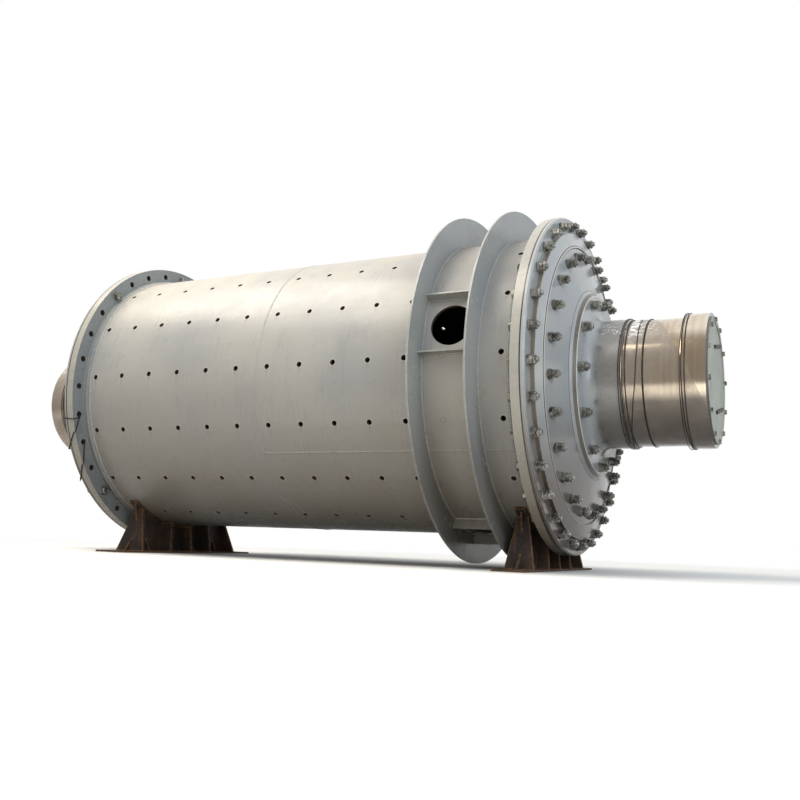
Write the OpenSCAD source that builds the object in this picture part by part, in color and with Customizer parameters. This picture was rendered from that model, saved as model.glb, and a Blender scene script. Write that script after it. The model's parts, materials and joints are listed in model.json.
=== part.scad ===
// Rod mill drum with peripheral end discharge, lying in two welded transport cradles.
// X runs along the mill from the feed end to the discharge end and Z is up. The origin is on
// the ground, below the middle of the drum. Angles round the drum start at the side that
// faces -Y and rise towards the top.

/* [Drum shell] */
// Inside diameter of the bare shell
shell_bore_d = 2100; // [1900:10:2300]
// Thickness of the rolled shell plate
shell_t = 25; // [16:1:40]
// Length between the joint faces of the two shell flanges
shell_l = 3728; // [3500:10:4200]
// Distance of the girth weld from the feed joint face
girth_weld = 1707; // [1600:1:1780]
// Number of rolled plates in each course, with one port in each plate of the second course
shell_plates = 4; // [4:1:4]
// Angle that the drum was rolled to when it was set down
drum_roll = 2.6; // [0:0.1:6]

/* [Shell flanges] */
// Radial height of a shell flange above the shell
flange_h = 130; // [110:1:160]
// Thickness of a shell flange
flange_t = 62; // [40:1:80]
// Width of the weld band behind a flange
hub_w = 55; // [30:1:80]
// Height of the weld band above the shell
hub_h = 18; // [10:1:30]
// Number of bolt holes in a flange joint
flange_bolts = 32; // [24:4:40]
// Distance of the flange bolt circle from the shell's outside
flange_bolt_out = 65; // [55:1:75]
// Diameter of a flange bolt hole
flange_hole_d = 46; // [30:1:52]
// Angle of the first flange bolt hole from the first liner row
flange_bolt_phase = -4; // [-8:0.5:8]

/* [Liner holes] */
// Number of rows of liner bolt holes round the shell
liner_rows = 16; // [12:4:20]
// Diameter of a liner bolt hole
liner_hole_d = 34; // [24:1:40]
// Spacing of the liner bolt holes along the shell
liner_pitch = 272; // [240:1:300]
// Distance of the end holes from the joint faces
liner_end = 164; // [150:1:190]

/* [Discharge ports] */
// Diameter of a discharge port
port_d = 290; // [220:1:320]
// Distance of the port centres from the discharge joint face
port_in = 521; // [500:1:560]
// Clear width between the two port rings
port_gap = 380; // [350:1:420]
// Thickness of a port ring
port_ring_t = 12; // [8:1:20]
// Radial height of a port ring above the shell
port_ring_h = 215; // [180:1:240]
// Thickness of a port rib
port_rib_t = 12; // [8:1:20]
// Radial height of a port rib above the shell
port_rib_h = 75; // [50:1:110]
// Angle between a port's centre and each of its ribs
port_rib_angle = 10.5; // [10:0.5:14]

/* [End covers] */
// Thickness of the cover's bolted rim
cover_rim_t = 30; // [24:1:50]
// Chamfer on the front edge of the rim
cover_chamfer = 10; // [5:1:20]
// Radial width of the bolted rim, in front
cover_rim_w = 113; // [105:1:125]
// Height of the raised ring's outer edge above the rim
cover_ring_h = 30; // [20:1:45]
// Radial width of the raised ring
cover_ring_w = 104; // [80:1:120]
// Rise of the raised ring from its outer edge to its inner edge
cover_ring_rise = 30; // [15:1:40]
// Step from the raised ring down to the cone
cover_step = 8; // [4:1:14]
// Rise of the cone from the raised ring to the trunnion seat
cover_cone_rise = 75; // [50:1:100]
// Thickness of the cover's wall along the mill's axis
cover_wall = 75; // [60:1:90]
// Depth of the spigot that centres the cover in the shell
spigot_l = 20; // [10:1:30]
// Radial width of that spigot
spigot_w = 60; // [40:1:80]
// Clearance of the spigots in their seats, on the radius
spigot_gap = 0.5; // [0.2:0.1:1]
// Number of end liner bolts in a cover
end_liner_bolts = 24; // [18:2:30]
// Radius of the end liner bolt circle
end_liner_bolt_r = 917; // [860:1:940]
// Diameter of an end liner bolt hole
end_liner_hole_d = 38; // [28:1:44]

/* [Trunnions] */
// Diameter of the trunnion's flange at its back
trunnion_flange_d = 1346; // [1200:2:1500]
// Thickness of the trunnion's flange
trunnion_flange_t = 42; // [36:1:60]
// Width of the sloped edge of the trunnion's flange
trunnion_flange_edge = 39; // [20:1:44]
// Radius of the fillet between the flange and the shoulder
trunnion_fillet = 66; // [40:1:76]
// Distance of the trunnion bolt circle from the flange's edge
trunnion_bolt_in = 87; // [75:1:100]
// Room between the trunnion bolt circle and the fillet
trunnion_bolt_room = 70; // [55:1:80]
// Length of the journal that runs in the main bearing
journal_l = 388; // [320:1:440]
// Wall of the trunnion at the journal
journal_wall = 108; // [90:1:130]
// Length of the shoulder between the fillet and the journal
shoulder_l = 171; // [120:1:200]
// Height of the shoulder above the journal
shoulder_h = 12; // [6:1:20]
// Length of the end collar
collar_l = 150; // [120:1:180]
// Height of the end collar above the journal
collar_h = 20; // [10:1:30]
// Radius of the fillets at both ends of the journal
journal_fillet = 10; // [4:1:12]
// Depth of the trunnion's spigot in the cover
trunnion_spigot_l = 50; // [30:1:60]
// Radial thickness of the trunnion's spigot
trunnion_spigot_t = 90; // [70:1:105]
// Number of trunnion flange bolts
trunnion_bolts = 12; // [10:2:16]
// Diameter of a trunnion bolt hole
trunnion_hole_d = 48; // [36:1:52]
// Thickness of the cover plate on the trunnion's mouth
cap_t = 8; // [6:1:16]
// Distance of the plate's edge from the collar's outside
cap_inset = 24; // [16:1:40]
// Thickness of the rim that stiffens the plate
cap_rim_t = 5; // [4:1:10]
// Width of that rim
cap_rim_w = 40; // [25:1:60]

/* [Cradles] */
// Distance of the feed cradle from the feed joint face
feed_cradle_in = 227; // [220:1:330]
// Distance of the discharge cradle from the discharge joint face
discharge_cradle_in = 185; // [175:1:205]
// Width of the feed cradle's base plate
feed_base_w = 300; // [280:1:320]
// Width of the discharge cradle's base plate
discharge_base_w = 225; // [190:1:230]
// Length of a base plate across the mill
base_l = 1650; // [1500:10:1900]
// Thickness of a base plate
base_t = 14; // [10:1:30]
// Height of the port rings above the ground
ground_gap = 25; // [20:1:80]
// Width of the bent pad that carries the shell
pad_w = 76; // [60:1:100]
// Thickness of that pad
pad_t = 20; // [12:1:26]
// Angle that the pad reaches up on each side of the bottom
pad_angle = 33.7; // [32:0.1:38]
// Thickness of the cradle's web, end plates and ribs
plate_t = 20; // [12:1:25]
// Angle, from the bottom, where an end plate meets the pad
end_plate_angle = 29; // [26:0.5:30]
// Distance of an end plate's foot from the end of the base plate
end_plate_in = 214; // [180:1:240]
// Distance of the side ribs from the middle, at their foot
side_rib_y = 265; // [220:1:300]
// Lean of a side rib from upright
side_rib_lean = 6; // [0:0.5:10]
// How much narrower a rib is at its head, on each side
rib_taper = 22; // [10:1:30]
// Distance of the ribs' feet from the base plate's edge
foot_in = 10; // [5:1:15]
// Height of the small gussets
gusset_h = 100; // [60:1:120]
// Depth of the small gussets
gusset_w = 55; // [30:1:60]
// Thickness of the small gussets
gusset_t = 12; // [8:1:20]

/* [Hidden] */

round_fn = 120;
hole_fn = 24;
// Overshoot of cutting shapes past the faces that they cut
cut = 10;

paint = [0.64, 0.63, 0.60];
turned_steel = [0.62, 0.58, 0.52];
plate_green = [0.63, 0.68, 0.62];
rusty_steel = [0.23, 0.15, 0.11];

shell_ir = shell_bore_d / 2;
shell_r = shell_ir + shell_t;
joint_x = shell_l / 2;
girth_x = girth_weld - joint_x;

// The long seams lie midway between liner rows, and are staggered from course to course
liner_step = 360 / liner_rows;
plate_step = 360 / shell_plates;
feed_seam = liner_step / 2;
discharge_seam = feed_seam - plate_step / 2;

flange_r = shell_r + flange_h;
flange_bolt_r = shell_r + flange_bolt_out;

port_x = joint_x - port_in;
port_ring_r = shell_r + port_ring_h;
port_phase = discharge_seam + plate_step / 2;
ring_inner_x = port_x - port_gap / 2 - port_ring_t;
ring_outer_x = port_x + port_gap / 2;

// Columns of liner holes: an even row up to the port rings, and one behind the last flange
liner_columns = concat(
    [for (x = [liner_end - joint_x : liner_pitch : ring_inner_x - liner_hole_d]) x],
    [joint_x - liner_end]
);

// Stations of the end cover and trunnion, along X from the joint face
ring_edge_r = flange_r - cover_rim_w;
ring_edge_x = cover_rim_t + cover_ring_h;
cone_r = ring_edge_r - cover_ring_w;
ring_top_x = ring_edge_x + cover_ring_rise;
cone_foot_x = ring_top_x - cover_step;
seat_x = cone_foot_x + cover_cone_rise;
trunnion_flange_r = trunnion_flange_d / 2;
trunnion_bolt_r = trunnion_flange_r - trunnion_bolt_in;
shoulder_r = trunnion_bolt_r - trunnion_bolt_room - trunnion_fillet;
journal_r = shoulder_r - shoulder_h;
trunnion_bore_r = journal_r - journal_wall;
trunnion_spigot_r = trunnion_bore_r + trunnion_spigot_t;
trunnion_face_x = seat_x + trunnion_flange_t;
collar_r = journal_r + collar_h;
shoulder_x = trunnion_face_x + trunnion_fillet + shoulder_l;
collar_x = shoulder_x + journal_l;
mouth_x = collar_x + collar_l;
cap_r = collar_r - cap_inset;

// Cradles
axis_z = port_ring_r + ground_gap;
pad_r = shell_r + pad_t;
feed_cradle_x = feed_cradle_in - joint_x;
discharge_cradle_x = joint_x - discharge_cradle_in;
end_head_y = pad_r * sin(end_plate_angle);
end_head_z = axis_z - pad_r * cos(end_plate_angle);
end_foot_y = base_l / 2 - end_plate_in;
end_plate_lean = atan2(end_foot_y - end_head_y, end_head_z - base_t);
end_plate_l = (end_head_z - base_t) / cos(end_plate_lean);
end_inner_y = end_foot_y - plate_t / cos(end_plate_lean);

// Everything that turns with the drum
module drum() translate([0, 0, axis_z]) rotate([-drum_roll, 0, 0]) children();

// Copies of a shape that faces -Y, set evenly round the drum
module around(n, phase = 0)
    for (i = [0 : n - 1]) rotate([-phase - i * 360 / n, 0, 0]) children();

// Shapes about the mill's axis
module x_cylinder(r, x0, x1)
    translate([x0, 0, 0]) rotate([0, 90, 0]) cylinder(r = r, h = x1 - x0, $fn = round_fn);
module x_revolve(angle = 360)
    rotate([0, 90, 0]) rotate_extrude(angle = angle, $fn = round_fn) children();
module at_discharge_end() translate([joint_x, 0, 0]) children();
module at_feed_end() mirror([1, 0, 0]) translate([joint_x, 0, 0]) children();

// Holes along X, on a circle
module x_holes(n, circle_r, d, x0, x1, phase)
    around(n, phase) translate([x0, -circle_r, 0]) rotate([0, 90, 0])
        cylinder(d = d, h = x1 - x0, $fn = hole_fn);

// A hole straight through the shell plate, towards the axis
module shell_hole(x, d)
    translate([x, -shell_ir + cut + shell_t, 0]) rotate([90, 0, 0])
        cylinder(d = d, h = 2 * (shell_t + cut), $fn = 2 * hole_fn);

// One rolled plate of a course, from its seam upwards, with its rows of liner holes
module shell_plate(x0, x1, seam) color(paint) drum() rotate([-seam, 0, 0])
    difference() {
        rotate([-90 - plate_step, 0, 0]) x_revolve(plate_step)
            translate([shell_ir, x0]) square([shell_t, x1 - x0]);
        for (x = liner_columns, row = [0.5 : liner_rows / shell_plates])
            if (x - liner_hole_d > x0 && x + liner_hole_d < x1)
                rotate([-row * liner_step, 0, 0]) shell_hole(x, liner_hole_d);
        if (port_x > x0 && port_x < x1)
            rotate([-plate_step / 2, 0, 0]) shell_hole(port_x, port_d);
    }
module feed_shell_plate(number) shell_plate(-joint_x, girth_x, feed_seam + (number - 1) * plate_step);
module discharge_shell_plate(number)
    shell_plate(girth_x, joint_x, discharge_seam + (number - 1) * plate_step);

// A forged flange with its weld band, slipped over the end of the shell
module shell_flange() color(paint)
    difference() {
        x_revolve() polygon([
            [shell_r, -flange_t - hub_w],
            [shell_r + hub_h, -flange_t - hub_w + hub_h],
            [shell_r + hub_h, -flange_t],
            [flange_r, -flange_t],
            [flange_r, 0],
            [shell_r, 0]
        ]);
        x_holes(flange_bolts, flange_bolt_r, flange_hole_d, -flange_t - cut, cut, flange_bolt_phase);
    }
module feed_shell_flange() drum() at_feed_end() shell_flange();
module discharge_shell_flange() drum() at_discharge_end() shell_flange();

// The two thin rings that guide the discharge, and the ribs that part it at the ports
module port_ring(x) color(paint) drum()
    difference() {
        x_cylinder(port_ring_r, x, x + port_ring_t);
        x_cylinder(shell_r, x - cut, x + port_ring_t + cut);
    }
module port_ring_inner() port_ring(ring_inner_x);
module port_ring_outer() port_ring(ring_outer_x);

// Ribs 1 and 2 flank the first port, 3 and 4 the next one up, and so on
module port_rib(number)
    let (port = floor((number - 1) / 2), side = number % 2 == 1 ? -1 : 1)
    color(paint) drum() rotate([-port_phase - port * plate_step - side * port_rib_angle, 0, 0])
        difference() {
            translate([ring_inner_x + port_ring_t, -shell_r - port_rib_h, -port_rib_t / 2])
                cube([port_gap, port_rib_h + cut, port_rib_t]);
            x_cylinder(shell_r, ring_inner_x, ring_outer_x + port_ring_t);
        }

// A cast end cover: bolted rim, raised ring, cone and the trunnion's seat
module end_cover() color(paint)
    difference() {
        x_revolve() polygon([
            [shell_ir - spigot_gap, 0],
            [flange_r, 0],
            [flange_r, cover_rim_t - cover_chamfer],
            [flange_r - cover_chamfer, cover_rim_t],
            [ring_edge_r, cover_rim_t],
            [ring_edge_r, ring_edge_x],
            [cone_r, ring_top_x],
            [cone_r, cone_foot_x],
            [trunnion_flange_r, seat_x],
            [trunnion_spigot_r + spigot_gap, seat_x],
            [trunnion_spigot_r + spigot_gap, seat_x - cover_wall],
            [trunnion_flange_r, seat_x - cover_wall],
            [cone_r, cone_foot_x - cover_wall],
            [shell_ir - spigot_w, -spigot_l],
            [shell_ir - spigot_gap, -spigot_l]
        ]);
        x_holes(flange_bolts, flange_bolt_r, flange_hole_d, -cut, cover_rim_t + cut,
            flange_bolt_phase);
        x_holes(end_liner_bolts, end_liner_bolt_r, end_liner_hole_d, -cover_wall, seat_x,
            180 / end_liner_bolts);
        x_holes(trunnion_bolts, trunnion_bolt_r, trunnion_hole_d, -cover_wall, seat_x + cut, 0);
    }
module feed_end_cover() drum() at_feed_end() end_cover();
module discharge_end_cover() drum() at_discharge_end() end_cover();

// A fillet's arc, from one angle to another, about a centre given as [radius, x]
function arc(centre, r, from, to, steps = 8) =
    [for (i = [0 : steps]) let (a = from + (to - from) * i / steps) centre + r * [cos(a), sin(a)]];

// A hollow trunnion: flange, filleted shoulder, journal and end collar
module trunnion() color(turned_steel)
    difference() {
        x_revolve() polygon(concat(
            [
                [trunnion_bore_r, seat_x - trunnion_spigot_l],
                [trunnion_spigot_r, seat_x - trunnion_spigot_l],
                [trunnion_spigot_r, seat_x],
                [trunnion_flange_r, seat_x],
                [trunnion_flange_r - trunnion_flange_edge, trunnion_face_x]
            ],
            arc([shoulder_r + trunnion_fillet, trunnion_face_x + trunnion_fillet], trunnion_fillet, 270, 180),
            [[shoulder_r, shoulder_x]],
            arc([journal_r + journal_fillet, shoulder_x + journal_fillet], journal_fillet, 270, 180, 4),
            arc([journal_r + journal_fillet, collar_x - journal_fillet], journal_fillet, 180, 90, 4),
            [
                [collar_r, collar_x],
                [collar_r, mouth_x],
                [trunnion_bore_r, mouth_x]
            ]
        ));
        x_holes(trunnion_bolts, trunnion_bolt_r, trunnion_hole_d, seat_x - cut, trunnion_face_x + cut, 0);
    }
module feed_trunnion() drum() at_feed_end() trunnion();
module discharge_trunnion() drum() at_discharge_end() trunnion();

// The plate that closes the trunnion's mouth, with a stiffening rim
module trunnion_cap() color(plate_green)
    x_revolve() polygon([
        [0, mouth_x],
        [cap_r, mouth_x],
        [cap_r, mouth_x + cap_t + cap_rim_t],
        [cap_r - cap_rim_w, mouth_x + cap_t + cap_rim_t],
        [cap_r - cap_rim_w, mouth_x + cap_t],
        [0, mouth_x + cap_t]
    ]);
module feed_trunnion_cap() drum() at_feed_end() trunnion_cap();
module discharge_trunnion_cap() drum() at_discharge_end() trunnion_cap();

// Room for the drum and its pad, cut out of what stands below them
module drum_cut(x) translate([0, 0, axis_z]) x_cylinder(pad_r, x - feed_base_w, x + feed_base_w);
// Everything under the top of the base plate, cut off the feet of leaning plates
module foot_cut(x)
    translate([x - feed_base_w, -base_l, base_t - 2 * plate_t])
        cube([2 * feed_base_w, 2 * base_l, 2 * plate_t]);

// A flat plate in the mill's cross section, drawn as [y, z]
module cross_plate(x, t) translate([x - t / 2, 0, 0]) rotate([90, 0, 90]) linear_extrude(t) children();

module cradle_base(x, width) color(rusty_steel)
    translate([x - width / 2, -base_l / 2, 0]) cube([width, base_l, base_t]);

module cradle_pad(x) color(rusty_steel)
    translate([x - pad_w / 2, 0, axis_z]) rotate([-pad_angle, 0, 0])
        x_revolve(2 * pad_angle) translate([shell_r, 0]) square([pad_t, pad_w]);

// The web fills the section between the end plates, from the base plate up to the pad
module cradle_web(x) color(rusty_steel)
    let (over = plate_t, head_y = end_inner_y - (end_head_z + over - base_t) * tan(end_plate_lean))
    difference() {
        cross_plate(x, plate_t) polygon([
            [-end_inner_y, base_t],
            [end_inner_y, base_t],
            [head_y, end_head_z + over],
            [-head_y, end_head_z + over]
        ]);
        drum_cut(x);
    }

// A leaning plate across the web: outer face at foot_y, tapered from foot to head
module cradle_cross(x, foot_y, lean, length, foot_w, head_w)
    translate([x, -foot_y, base_t]) rotate([90 - lean, 0, 0]) translate([0, 0, -plate_t])
        let (slope = (foot_w - head_w) / length)
        linear_extrude(plate_t) polygon([
            [-foot_w - slope * plate_t, -plate_t],
            [foot_w + slope * plate_t, -plate_t],
            [head_w - slope * plate_t, length + plate_t],
            [-head_w + slope * plate_t, length + plate_t]
        ]);

module cradle_end(x, width) color(rusty_steel)
    difference() {
        cradle_cross(x, end_foot_y, end_plate_lean, end_plate_l, width / 2 - foot_in, pad_w / 2);
        drum_cut(x);
        foot_cut(x);
    }

// A rib in two halves, one on each side of the web
module cradle_rib(x, width, foot_y, lean) color(rusty_steel)
    let (foot_w = width / 2 - foot_in, head_z = axis_z - sqrt(pow(pad_r, 2) - pow(foot_y, 2)))
    difference() {
        cradle_cross(x, foot_y + plate_t / 2, lean, head_z - base_t, foot_w, foot_w - rib_taper);
        drum_cut(x);
        foot_cut(x);
        translate([x - plate_t / 2, -base_l, 0]) cube([plate_t, 2 * base_l, axis_z]);
    }

// Small gussets: on the base plate against the web, between the ribs, and at the foot and
// head of each end plate, in line with the web
module cradle_gussets(x) color(rusty_steel) {
    bay_y = [(end_foot_y + side_rib_y) / 2, side_rib_y / 2];
    for (side = [-1, 1], end = [-1, 1], y = bay_y)
        translate([x + side * plate_t / 2, end * y + gusset_t / 2, base_t])
            rotate([90, 0, 0]) linear_extrude(gusset_t)
                polygon([[0, 0], [side * gusset_w, 0], [0, gusset_h]]);
    for (end = [0, 1]) mirror([0, end, 0]) {
        cross_plate(x, gusset_t) polygon([
            [-end_foot_y, base_t],
            [-end_foot_y - gusset_w, base_t],
            [-end_foot_y + gusset_h * tan(end_plate_lean), base_t + gusset_h]
        ]);
        difference() {
            cross_plate(x, gusset_t) polygon([
                [-end_head_y - gusset_h * tan(end_plate_lean), end_head_z - gusset_h],
                [-end_head_y + plate_t * tan(end_plate_lean), end_head_z + plate_t],
                [-end_head_y - gusset_w, end_head_z + gusset_w]
            ]);
            drum_cut(x);
        }
    }
}

module feed_cradle_base() cradle_base(feed_cradle_x, feed_base_w);
module feed_cradle_web() cradle_web(feed_cradle_x);
module feed_cradle_pad() cradle_pad(feed_cradle_x);
module feed_cradle_end_front() cradle_end(feed_cradle_x, feed_base_w);
module feed_cradle_end_back() mirror([0, 1, 0]) cradle_end(feed_cradle_x, feed_base_w);
module feed_cradle_rib_front() cradle_rib(feed_cradle_x, feed_base_w, side_rib_y, side_rib_lean);
module feed_cradle_rib_middle() cradle_rib(feed_cradle_x, feed_base_w, 0, 0);
module feed_cradle_rib_back()
    mirror([0, 1, 0]) cradle_rib(feed_cradle_x, feed_base_w, side_rib_y, side_rib_lean);
module feed_cradle_gussets() cradle_gussets(feed_cradle_x);

module discharge_cradle_base() cradle_base(discharge_cradle_x, discharge_base_w);
module discharge_cradle_web() cradle_web(discharge_cradle_x);
module discharge_cradle_pad() cradle_pad(discharge_cradle_x);
module discharge_cradle_end_front() cradle_end(discharge_cradle_x, discharge_base_w);
module discharge_cradle_end_back() mirror([0, 1, 0]) cradle_end(discharge_cradle_x, discharge_base_w);
module discharge_cradle_rib_front()
    cradle_rib(discharge_cradle_x, discharge_base_w, side_rib_y, side_rib_lean);
module discharge_cradle_rib_middle() cradle_rib(discharge_cradle_x, discharge_base_w, 0, 0);
module discharge_cradle_rib_back()
    mirror([0, 1, 0]) cradle_rib(discharge_cradle_x, discharge_base_w, side_rib_y, side_rib_lean);
module discharge_cradle_gussets() cradle_gussets(discharge_cradle_x);

for (number = [1 : shell_plates])
    feed_shell_plate(number);
for (number = [1 : shell_plates])
    discharge_shell_plate(number);
feed_shell_flange();
discharge_shell_flange();
port_ring_inner();
port_ring_outer();
for (number = [1 : 2 * shell_plates])
    port_rib(number);
feed_end_cover();
discharge_end_cover();
feed_trunnion();
discharge_trunnion();
feed_trunnion_cap();
discharge_trunnion_cap();
feed_cradle_base();
feed_cradle_web();
feed_cradle_pad();
feed_cradle_end_front();
feed_cradle_end_back();
feed_cradle_rib_front();
feed_cradle_rib_middle();
feed_cradle_rib_back();
feed_cradle_gussets();
discharge_cradle_base();
discharge_cradle_web();
discharge_cradle_pad();
discharge_cradle_end_front();
discharge_cradle_end_back();
discharge_cradle_rib_front();
discharge_cradle_rib_middle();
discharge_cradle_rib_back();
discharge_cradle_gussets();
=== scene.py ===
import json
import math

import bmesh
import bpy
from mathutils import Matrix, Vector


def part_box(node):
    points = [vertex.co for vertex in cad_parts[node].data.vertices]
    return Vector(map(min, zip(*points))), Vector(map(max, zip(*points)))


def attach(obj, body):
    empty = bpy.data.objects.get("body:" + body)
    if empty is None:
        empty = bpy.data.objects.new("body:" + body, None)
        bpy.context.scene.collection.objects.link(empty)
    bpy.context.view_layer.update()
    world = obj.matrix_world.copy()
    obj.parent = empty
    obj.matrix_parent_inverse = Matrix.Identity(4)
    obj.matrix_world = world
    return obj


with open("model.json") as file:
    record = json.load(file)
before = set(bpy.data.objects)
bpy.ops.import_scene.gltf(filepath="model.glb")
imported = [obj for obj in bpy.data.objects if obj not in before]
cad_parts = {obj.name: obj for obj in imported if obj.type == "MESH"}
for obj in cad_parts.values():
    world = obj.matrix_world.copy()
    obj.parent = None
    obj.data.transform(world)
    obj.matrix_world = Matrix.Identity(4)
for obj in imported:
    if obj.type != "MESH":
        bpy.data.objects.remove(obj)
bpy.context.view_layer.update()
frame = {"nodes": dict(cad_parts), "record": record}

# Shell plates. Two courses of rolled steel plate, butt welded along and round, and drilled for the
# liner bolts. They are sprayed light grey outside, and are bare and rusty inside.
SHELL_PLATES = [n for n in frame["nodes"] if "shell_plate" in n]
mounts = {m["name"]: m for m in frame["record"]["mounts"]}
collar_mount = mounts["discharge_end_collar"]
liner_mount = mounts["liner_hole_upper_1"]
AXIS_Z = collar_mount["pos_m"][2]
ROLL = math.atan2(liner_mount["axis"][2], -liner_mount["axis"][1])
LINER_HOLE_R = liner_mount["dims"]["r_mm"] / 1000
LINER_FIRST_X = liner_mount["pos_m"][0]
LINER_PITCH = mounts["liner_hole_upper_2"]["pos_m"][0] - LINER_FIRST_X
LINER_ROWS = 16
PLUGGED_X = LINER_FIRST_X + 11 * LINER_PITCH
SHELL_WALL = liner_mount["dims"]["length_mm"] / 1000
SHELL_R = math.hypot(liner_mount["pos_m"][1], liner_mount["pos_m"][2] - AXIS_Z) + SHELL_WALL / 2
GREY = (0.395, 0.400, 0.402, 1)
BARE_EDGE = (0.74, 0.72, 0.67, 1)
PRIMER = (0.066, 0.045, 0.036, 1)
DARK_INSIDE = (0.045, 0.036, 0.030, 1)


def add(tree, kind, options=None, **values):
    """A node with its options set, and its inputs set or linked by name (or by place, as i0, i1)."""
    made = tree.nodes.new(kind)
    for key, value in (options or {}).items():
        setattr(made, key, value)
    for key, value in values.items():
        spot = int(key[1:]) if key[0] == "i" and key[1:].isdigit() else key.replace("_", " ")
        socket = made.inputs[spot]
        if isinstance(value, bpy.types.NodeSocket):
            tree.links.new(value, socket)
        else:
            socket.default_value = value
    return made


def sums(tree, operation, a, b=0.0, c=0.0):
    """One step of arithmetic on values."""
    return add(tree, "ShaderNodeMath", {"operation": operation}, i0=a, i1=b, i2=c).outputs[0]


def plus(tree, a, b):
    """Two values added."""
    return sums(tree, "ADD", a, b)


def minus(tree, a, b):
    """One value less another."""
    return sums(tree, "SUBTRACT", a, b)


def times(tree, a, b):
    """Two values multiplied."""
    return sums(tree, "MULTIPLY", a, b)


def apart(tree, a, b):
    """How far two values differ."""
    return sums(tree, "ABSOLUTE", minus(tree, a, b))


def spread(tree, a, b):
    """Length of a step with two sides."""
    return sums(tree, "SQRT", plus(tree, times(tree, a, a), times(tree, b, b)))


def between(tree, value, low, high, to_low=0.0, to_high=1.0):
    """A smooth step of a value from one level to another."""
    step = add(tree, "ShaderNodeMapRange", {"interpolation_type": "SMOOTHSTEP"}, Value=value,
               From_Min=low, From_Max=high, To_Min=to_low, To_Max=to_high)
    return step.outputs["Result"]


def blend(tree, amount, a, b, how="MIX"):
    """Two colours mixed by a mask."""
    mix = add(tree, "ShaderNodeMix", {"data_type": "RGBA", "blend_type": how}, i0=amount, i6=a, i7=b)
    return mix.outputs[2]


def object_place(tree):
    """Where a point lies in the frame of the part."""
    return add(tree, "ShaderNodeTexCoord").outputs["Object"]


def noise(tree, vector, scale, detail=2.0, roughness=0.5):
    """Cloudy values around one half."""
    made = add(tree, "ShaderNodeTexNoise", None, Vector=vector, Scale=scale, Detail=detail,
               Roughness=roughness)
    return made.outputs[0]


def stretched(tree, vector, scale):
    """Coordinates pulled out along the axes with the small factors."""
    return add(tree, "ShaderNodeMapping", None, Vector=vector, Scale=scale).outputs[0]


def group(name, inputs, outputs, tree_kind="ShaderNodeTree"):
    """An empty node group with named sockets: (tree, input sockets, output node)."""
    tree = bpy.data.node_groups.new(name, tree_kind)
    for label, kind, default in inputs:
        socket = tree.interface.new_socket(label, in_out="INPUT", socket_type=f"NodeSocket{kind}")
        if default is not None:
            socket.default_value = default
    for label, kind in outputs:
        tree.interface.new_socket(label, in_out="OUTPUT", socket_type=f"NodeSocket{kind}")
    source = tree.nodes.new("NodeGroupInput")
    sink = tree.nodes.new("NodeGroupOutput")
    return tree, source.outputs, sink


def use(tree, group_tree, **values):
    """A node group placed in a material."""
    return add(tree, "ShaderNodeGroup", {"node_tree": group_tree}, **values).outputs


def finish_material(name):
    """A material that holds only its shader: (material, tree, Principled BSDF)."""
    made = bpy.data.materials.new(name)
    made.use_nodes = True
    return made, made.node_tree, made.node_tree.nodes["Principled BSDF"]


def bumped(tree, shader, height, strength, distance):
    """Surface relief from a height."""
    bump = add(tree, "ShaderNodeBump", None, Height=height, Strength=strength, Distance=distance)
    tree.links.new(bump.outputs[0], shader.inputs["Normal"])


def polar_group():
    """Where a point lies on the drum: along it, out from its axis, and round it."""
    labels = ("Along", "Radius", "Angle", "Height", "Front")
    tree, _, sink = group("drum_polar", [], [(label, "Float") for label in labels])
    xyz = add(tree, "ShaderNodeSeparateXYZ", None, i0=object_place(tree)).outputs
    front = times(tree, xyz[1], -1.0)
    height = minus(tree, xyz[2], AXIS_Z)
    angle = sums(tree, "ARCTAN2", height, front)
    for label, value in zip(labels, (xyz[0], spread(tree, front, height), angle, height, front)):
        tree.links.new(value, sink.inputs[label])
    return tree


def offset_group():
    """Distance to the nearest of evenly spaced places."""
    inputs = [("Value", "Float", 0.0), ("Start", "Float", 0.0), ("Pitch", "Float", 1.0)]
    tree, given, sink = group("nearest_offset", inputs, [("Offset", "Float")])
    turns = sums(tree, "DIVIDE", minus(tree, given["Value"], given["Start"]), given["Pitch"])
    part = sums(tree, "FRACT", plus(tree, turns, 0.5))
    tree.links.new(times(tree, minus(tree, part, 0.5), given["Pitch"]), sink.inputs["Offset"])
    return tree


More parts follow.
